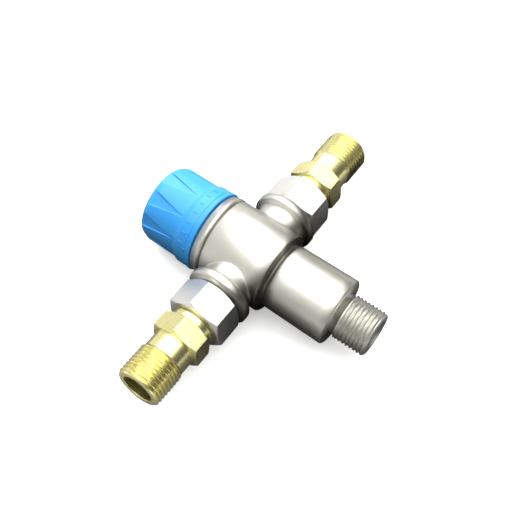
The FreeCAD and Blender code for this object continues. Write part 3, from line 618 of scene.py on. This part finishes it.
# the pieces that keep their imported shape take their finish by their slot
slotFinish = {
    "black_rubber": blackRubber, "fibre_washer": blackRubber, "bare_brass": innerBrass,
    "stainless": springSteel, "screw_steel": springSteel, "copper_sensor": sensorCopper,
    "white_acetal": whiteAcetal, "black_acetal": blackAcetal, "satin_nickel": satinNickel,
    "nickel_nut": barNickel, "yellow_brass": turnedBrass, "blue_plastic": blueAbs}
for part in frame["record"]["subparts"]:
    cadMesh = nodes[part["node"]].data
    cadMesh.materials.clear()
    cadMesh.materials.append(slotFinish[part["material_slot"]])
print("cap, scale, springs and inner pieces finished")

# Matt white table. Only the camera sees it pale: for light that leaves the valve it is a dim sheet of painted
# shade, darkest close by, as if black cards stood round the valve. From underneath it is clear, so that the
# valve's lower side can be looked at.
tableForm = {"reach": 1500.0, "colour": "#F6F6F4", "glow": 0.45, "dimPlace": (15.0, -15.0),
             "dimFrom": 45.0, "dimTo": 230.0, "dimLow": 0.012, "dimHigh": 0.8, "mattShare": 0.1}


def layTable():
    f = tableForm
    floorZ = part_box("adjusting_cap")[0].z / mm
    corners = np.array([[-1, -1], [1, -1], [1, 1], [-1, 1]]) * f["reach"]
    mesh = bpy.data.meshes.new("table")
    points = [(x * mm, (y + teeY) * mm, floorZ * mm) for x, y in corners.tolist()]
    mesh.from_pydata(points, [], [(0, 1, 2, 3)])
    addObject("table", mesh)
    material = bpy.data.materials.new("mattLaminate")
    tree = emptyTree(material)
    rays = addNode(tree, "ShaderNodeLightPath").outputs
    paint = addNode(tree, "ShaderNodeBsdfDiffuse", {"Color": linearColour(f["colour"])})
    lit = addNode(tree, "ShaderNodeEmission", {"Color": linearColour(f["colour"]), "Strength": f["glow"]})
    pale = addNode(tree, "ShaderNodeAddShader", links={0: paint.outputs[0], 1: lit.outputs[0]})
    spot = addNode(tree, "ShaderNodeTexCoord").outputs["Object"]
    # painted shade: for light that leaves the valve the table grows darker towards the valve
    dimCentre = (f["dimPlace"][0] * mm, (teeY + f["dimPlace"][1]) * mm, 0)
    offset = addNode(tree, "ShaderNodeVectorMath", {"operation": "SUBTRACT", 1: dimCentre}, {0: spot})
    away = addNode(tree, "ShaderNodeVectorMath", {"operation": "LENGTH"}, {0: offset.outputs["Vector"]})
    spread = addNode(tree, "ShaderNodeMapRange",
                     {"From Min": f["dimFrom"] * mm, "From Max": f["dimTo"] * mm,
                      "To Min": f["dimLow"], "To Max": f["dimHigh"]}, {"Value": away.outputs["Value"]})
    shade = addNode(tree, "ShaderNodeMapRange", {"To Min": 1.0, "To Max": f["mattShare"]},
                    {"Value": rays["Is Diffuse Ray"]})
    grey = addNode(tree, "ShaderNodeMath", {"operation": "MULTIPLY"},
                   {0: spread.outputs["Result"], 1: shade.outputs["Result"]})
    dim = addNode(tree, "ShaderNodeBsdfDiffuse", links={"Color": grey.outputs["Value"]})
    top = addNode(tree, "ShaderNodeMixShader",
                  links={0: rays["Is Camera Ray"], 1: dim.outputs[0], 2: pale.outputs[0]})
    side = addNode(tree, "ShaderNodeNewGeometry")
    under = addNode(tree, "ShaderNodeMath", {"operation": "MULTIPLY"},
                    {0: rays["Is Camera Ray"], 1: side.outputs["Backfacing"]})
    clear = addNode(tree, "ShaderNodeBsdfTransparent")
    sheet = addNode(tree, "ShaderNodeMixShader",
                    links={0: under.outputs["Value"], 1: top.outputs[0], 2: clear.outputs[0]})
    addNode(tree, "ShaderNodeOutputMaterial", links={"Surface": sheet.outputs[0]})
    mesh.materials.append(material)


layTable()

# A white tent round the table: light grows with the share of a direction that points along a way, by rows
# of (share, glow). Reflections and matt surfaces take different tents: an even one, and one that is brighter
# to one side, which models the cap. The camera sees plain pale paper.
tentForm = {"strength": 1.05, "blueness": 1.01, "paper": 1.3,
            "evenWay": (-0.08, 0.5, 0.86), "evenGlow": ((0.0, 0.15), (0.2, 0.42), (0.5, 0.9), (0.8, 1.0)),
            "sideWay": (0.45, 0.2, 0.87), "sideGlow": ((0.0, 0.02), (0.3, 0.22), (0.7, 1.1), (1.0, 1.5))}


def tentLight(tree, way, glows):
    # the glow read from the rows at the dot product of the direction and the way
    upward = addNode(tree, "ShaderNodeTexCoord").outputs["Generated"]
    share = addNode(tree, "ShaderNodeVectorMath", {"operation": "DOT_PRODUCT", 1: way}, {0: upward})
    ramp = addNode(tree, "ShaderNodeValToRGB", links={"Fac": share.outputs["Value"]})
    stops = ramp.color_ramp.elements
    while len(stops) < len(glows):
        stops.new(0.5)                                   # each stop gets its own place below
    for stop, (place, glow) in zip(stops, glows):
        stop.position, stop.color = place, (glow, glow, glow * tentForm["blueness"], 1)
    return addNode(tree, "ShaderNodeBackground", {"Strength": tentForm["strength"]},
                   {"Color": ramp.outputs["Color"]}).outputs[0]


def pitchTent():
    f = tentForm
    world = bpy.data.worlds.new("studioRoom")
    bpy.context.scene.world = world
    tree = emptyTree(world)
    rays = addNode(tree, "ShaderNodeLightPath").outputs
    even, sided = tentLight(tree, f["evenWay"], f["evenGlow"]), tentLight(tree, f["sideWay"], f["sideGlow"])
    tent = addNode(tree, "ShaderNodeMixShader", links={0: rays["Is Diffuse Ray"], 1: even, 2: sided})
    paper = addNode(tree, "ShaderNodeBackground",
                    {"Color": linearColour(tableForm["colour"]), "Strength": f["paper"]})
    room = addNode(tree, "ShaderNodeMixShader",
                   links={0: rays["Is Camera Ray"], 1: tent.outputs[0], 2: paper.outputs[0]})
    addNode(tree, "ShaderNodeOutputWorld", links={"Surface": room.outputs[0]})


pitchTent()

# name: place from the tee, width and length, watts; each lamp faces the tee
lamps = {"topSoftbox": ((60, 60, 900), (1500, 1500), 13.0), "backSoftbox": ((420, 420, 420), (420, 420), 1.5)}
for name, (place, size, watts) in lamps.items():
    light = bpy.data.lights.new(name, "AREA")
    light.shape, light.size, light.size_y, light.energy = "RECTANGLE", size[0] * mm, size[1] * mm, watts
    lamp, spot = addObject(name, light), Vector(place)
    lamp.location = (spot + Vector((0, teeY, 0))) * mm
    lamp.rotation_euler = (-spot).to_track_quat("-Z", "Y").to_euler()

# Where the camera stands, seen from the tee: its direction in degrees, how far off it is, and how far to its
# own right and up it is moved. Clip is in metres. The gamma deepens the middle tones a little.
view = {"azimuth": -58.561, "elevation": 57.175, "roll": 5.302, "distance": 368.9, "right": -0.137,
        "up": 2.002, "lens": 59.869386, "sensor": 36.0, "clip": (0.01, 20.0), "gamma": 0.9}


def setCamera():
    azimuth, elevation, roll = (math.radians(view[key]) for key in ("azimuth", "elevation", "roll"))
    level = Vector((math.cos(azimuth), math.sin(azimuth), 0))
    back = Vector((math.sin(azimuth) * math.cos(elevation), -math.cos(azimuth) * math.cos(elevation),
                   math.sin(elevation)))
    rise = back.cross(level)
    right = level * math.cos(roll) + rise * math.sin(roll)
    up = rise * math.cos(roll) - level * math.sin(roll)
    eye = right * view["right"] + up * view["up"] + back * view["distance"] + Vector((0, teeY, 0))
    data = bpy.data.cameras.new("tableCamera")
    data.sensor_width, data.lens = view["sensor"], view["lens"]
    data.clip_start, data.clip_end = view["clip"]
    camera = addObject("tableCamera", data)
    camera.matrix_world = Matrix.Translation(eye * mm) @ Matrix((right, up, back)).transposed().to_4x4()
    bpy.context.scene.camera = camera


setCamera()
bpy.context.scene.view_settings.view_transform = "Standard"
bpy.context.scene.view_settings.gamma = view["gamma"]
print("table, lamps and camera set")
